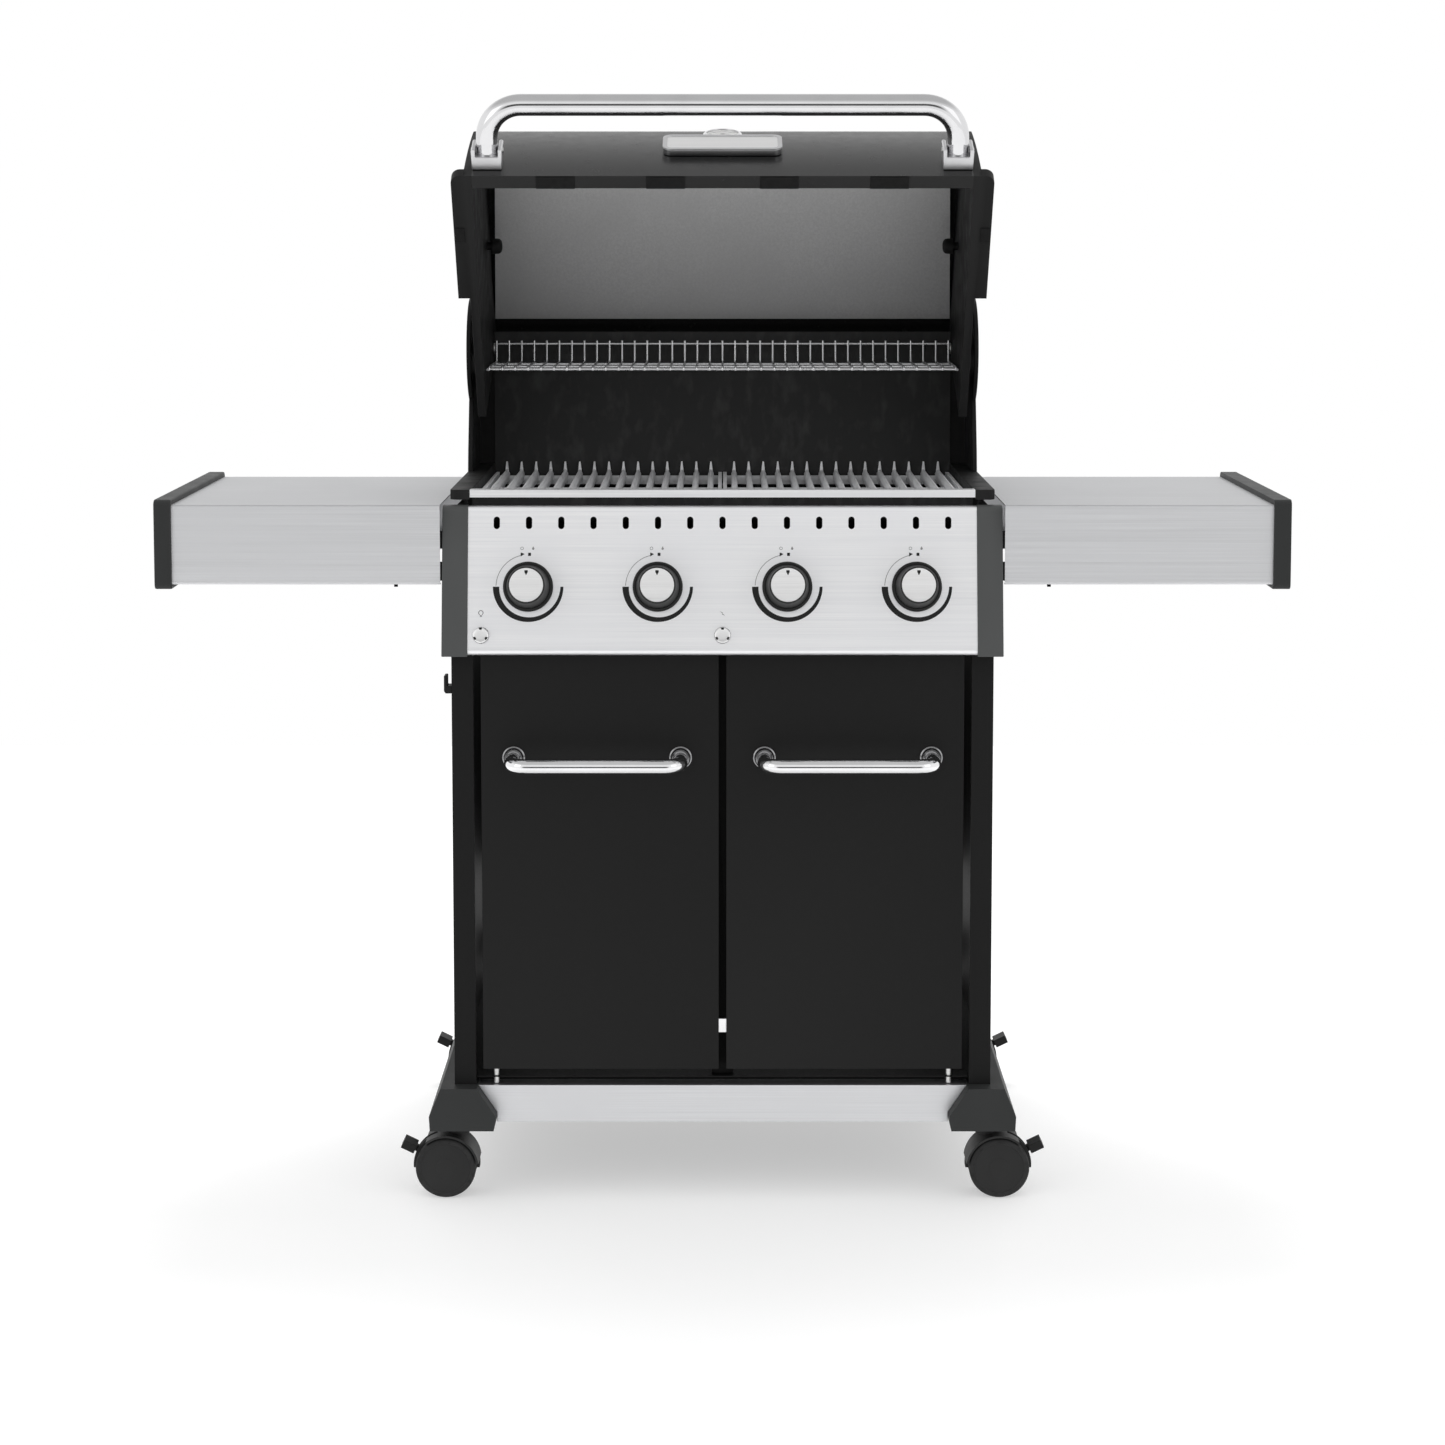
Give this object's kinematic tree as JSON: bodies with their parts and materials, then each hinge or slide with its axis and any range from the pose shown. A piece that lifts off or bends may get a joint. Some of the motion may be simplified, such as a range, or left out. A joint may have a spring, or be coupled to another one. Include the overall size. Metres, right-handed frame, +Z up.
{
  "type": "gas barbecue grill",
  "caption": "Gas barbecue grill with a hinged lid held open, fold-down side shelves and a two-door cart on braked swivel casters.",
  "frame": {"origin": "on the ground under the middle of the footprint", "axes": "+Z up, -Y towards the cook at the control panel, +X to the cook's right"},
  "size_m": [1.45, 0.665, 1.4383],
  "materials": {
    "cart_paint": "satin",
    "lid_enamel": "gloss",
    "cast_paint": "satin",
    "tub_enamel": "matte",
    "brushed_steel": "brushed",
    "liner_steel": "satin",
    "grate_steel": "satin",
    "wire_steel": "gloss",
    "chrome": "gloss",
    "bracket_metal": "satin",
    "zinc": "satin",
    "brass": "satin",
    "grey_moulding": "matte",
    "dark_plastic": "matte",
    "rubber": "matte"
  },
  "bodies": {
    "root": {"foot_beams": "grey_moulding", "base_shelf": "cart_paint", "lower_rail": "brushed_steel", "side_panel_left": "cart_paint", "side_panel_right": "cart_paint", "cross_rails": "cart_paint", "centre_stile": "cart_paint", "shelf_brackets": "cart_paint", "side_hook": "dark_plastic", "firebox_end_left": "cast_paint", "firebox_end_right": "cast_paint", "firebox_tub": "tub_enamel", "front_lip": "brushed_steel", "control_panel": "brushed_steel", "panel_end_caps": "grey_moulding", "knob_bezels": "dark_plastic", "gas_manifold": "brass", "burner_tubes": "liner_steel", "heat_plates": "liner_steel", "cooking_grates": "grate_steel", "warming_rack": "wire_steel", "igniter_set": "dark_plastic", "door_hinge_pins": "zinc", "lid_pivot_bolts": "zinc"},
    "lid": {"lid_shell": "lid_enamel", "lid_end_left": "cast_paint", "lid_end_right": "cast_paint", "lid_liner": "liner_steel", "lid_handle": "chrome", "handle_brackets": "bracket_metal", "lid_badge": "chrome", "thermometer": "chrome", "lid_bumpers": "rubber"},
    "left_door": {"door_left": "cart_paint", "door_handle_left": "chrome"},
    "right_door": {"door_right": "cart_paint", "door_handle_right": "chrome"},
    "ignition_push": {"ignition_button": "chrome"},
    "light_push": {"light_button": "chrome"},
    "left_shelf": {"shelf_left": "brushed_steel", "shelf_cap_left": "grey_moulding"},
    "right_shelf": {"shelf_right": "brushed_steel", "shelf_cap_right": "grey_moulding"},
    "tray": {"drip_tray": "liner_steel"},
    "knob_body_1": {"knob_1": "dark_plastic"},
    "knob_body_2": {"knob_2": "dark_plastic"},
    "knob_body_3": {"knob_3": "dark_plastic"},
    "knob_body_4": {"knob_4": "dark_plastic"},
    "fork_front_left": {"caster_fork_front_left": "dark_plastic"},
    "wheel_front_left": {"caster_wheel_front_left": "dark_plastic"},
    "brake_front_left": {"caster_brake_front_left": "dark_plastic"},
    "fork_front_right": {"caster_fork_front_right": "dark_plastic"},
    "wheel_front_right": {"caster_wheel_front_right": "dark_plastic"},
    "brake_front_right": {"caster_brake_front_right": "dark_plastic"},
    "fork_rear_left": {"caster_fork_rear_left": "dark_plastic"},
    "wheel_rear_left": {"caster_wheel_rear_left": "dark_plastic"},
    "brake_rear_left": {"caster_brake_rear_left": "dark_plastic"},
    "fork_rear_right": {"caster_fork_rear_right": "dark_plastic"},
    "wheel_rear_right": {"caster_wheel_rear_right": "dark_plastic"},
    "brake_rear_right": {"caster_brake_rear_right": "dark_plastic"}
  },
  "joints": [
    {"name": "lid_hinge", "type": "hinge", "parent": "root", "child": "lid", "pos_m": [0, 0.1506, 1.0972], "axis": [1, 0, 0], "range_deg": [0, 55]},
    {"name": "left_door_hinge", "type": "hinge", "parent": "root", "child": "left_door", "pos_m": [-0.295, -0.241, 0.45], "axis": [0, 0, -1], "range_deg": [0, 90]},
    {"name": "right_door_hinge", "type": "hinge", "parent": "root", "child": "right_door", "pos_m": [0.295, -0.241, 0.45], "axis": [0, 0, 1], "range_deg": [0, 90]},
    {"name": "knob_1_turn", "type": "hinge", "parent": "root", "child": "knob_body_1", "pos_m": [-0.24795, -0.27567, 0.81196], "axis": [0, -0.9848, 0.1736], "range_deg": [0, 270]},
    {"name": "knob_2_turn", "type": "hinge", "parent": "root", "child": "knob_body_2", "pos_m": [-0.08265, -0.27567, 0.81196], "axis": [0, -0.9848, 0.1736], "range_deg": [0, 270]},
    {"name": "knob_3_turn", "type": "hinge", "parent": "root", "child": "knob_body_3", "pos_m": [0.08265, -0.27567, 0.81196], "axis": [0, -0.9848, 0.1736], "range_deg": [0, 270]},
    {"name": "knob_4_turn", "type": "hinge", "parent": "root", "child": "knob_body_4", "pos_m": [0.24795, -0.27567, 0.81196], "axis": [0, -0.9848, 0.1736], "range_deg": [0, 270]},
    {"name": "ignition_press", "type": "slide", "parent": "root", "child": "ignition_push", "axis": [0, 0.9848, -0.1736], "range_m": [0, 0.0035], "stiffness_N_per_m": 600, "springref_m": -0.002},
    {"name": "light_press", "type": "slide", "parent": "root", "child": "light_push", "axis": [0, 0.9848, -0.1736], "range_m": [0, 0.0035], "stiffness_N_per_m": 600, "springref_m": -0.002},
    {"name": "left_shelf_fold", "type": "hinge", "parent": "root", "child": "left_shelf", "pos_m": [-0.42, -0.0575, 0.828], "axis": [0, -1, 0], "range_deg": [0, 90]},
    {"name": "right_shelf_fold", "type": "hinge", "parent": "root", "child": "right_shelf", "pos_m": [0.42, -0.0575, 0.828], "axis": [0, 1, 0], "range_deg": [0, 90]},
    {"name": "tray_slide", "type": "slide", "parent": "root", "child": "tray", "axis": [0, 1, 0], "range_m": [0, 0.32]},
    {"name": "swivel_front_left", "type": "hinge", "parent": "root", "child": "fork_front_left", "pos_m": [-0.345, -0.214, 0.1], "axis": [0, 0, 1], "continuous": true},
    {"name": "roll_front_left", "type": "hinge", "parent": "fork_front_left", "child": "wheel_front_left", "pos_m": [-0.363, -0.214, 0.0395], "axis": [0, 1, 0], "continuous": true},
    {"name": "brake_front_left_pedal", "type": "hinge", "parent": "fork_front_left", "child": "brake_front_left", "pos_m": [-0.387, -0.214, 0.0529], "axis": [0, -1, 0], "range_deg": [0, 12]},
    {"name": "swivel_front_right", "type": "hinge", "parent": "root", "child": "fork_front_right", "pos_m": [0.345, -0.214, 0.1], "axis": [0, 0, 1], "continuous": true},
    {"name": "roll_front_right", "type": "hinge", "parent": "fork_front_right", "child": "wheel_front_right", "pos_m": [0.363, -0.214, 0.0395], "axis": [0, 1, 0], "continuous": true},
    {"name": "brake_front_right_pedal", "type": "hinge", "parent": "fork_front_right", "child": "brake_front_right", "pos_m": [0.387, -0.214, 0.0529], "axis": [0, 1, 0], "range_deg": [0, 12]},
    {"name": "swivel_rear_left", "type": "hinge", "parent": "root", "child": "fork_rear_left", "pos_m": [-0.345, 0.301, 0.1], "axis": [0, 0, 1], "continuous": true},
    {"name": "roll_rear_left", "type": "hinge", "parent": "fork_rear_left", "child": "wheel_rear_left", "pos_m": [-0.363, 0.301, 0.0395], "axis": [0, 1, 0], "continuous": true},
    {"name": "brake_rear_left_pedal", "type": "hinge", "parent": "fork_rear_left", "child": "brake_rear_left", "pos_m": [-0.387, 0.301, 0.0529], "axis": [0, -1, 0], "range_deg": [0, 12]},
    {"name": "swivel_rear_right", "type": "hinge", "parent": "root", "child": "fork_rear_right", "pos_m": [0.345, 0.301, 0.1], "axis": [0, 0, 1], "continuous": true},
    {"name": "roll_rear_right", "type": "hinge", "parent": "fork_rear_right", "child": "wheel_rear_right", "pos_m": [0.363, 0.301, 0.0395], "axis": [0, 1, 0], "continuous": true},
    {"name": "brake_rear_right_pedal", "type": "hinge", "parent": "fork_rear_right", "child": "brake_rear_right", "pos_m": [0.387, 0.301, 0.0529], "axis": [0, 1, 0], "range_deg": [0, 12]}
  ]
}
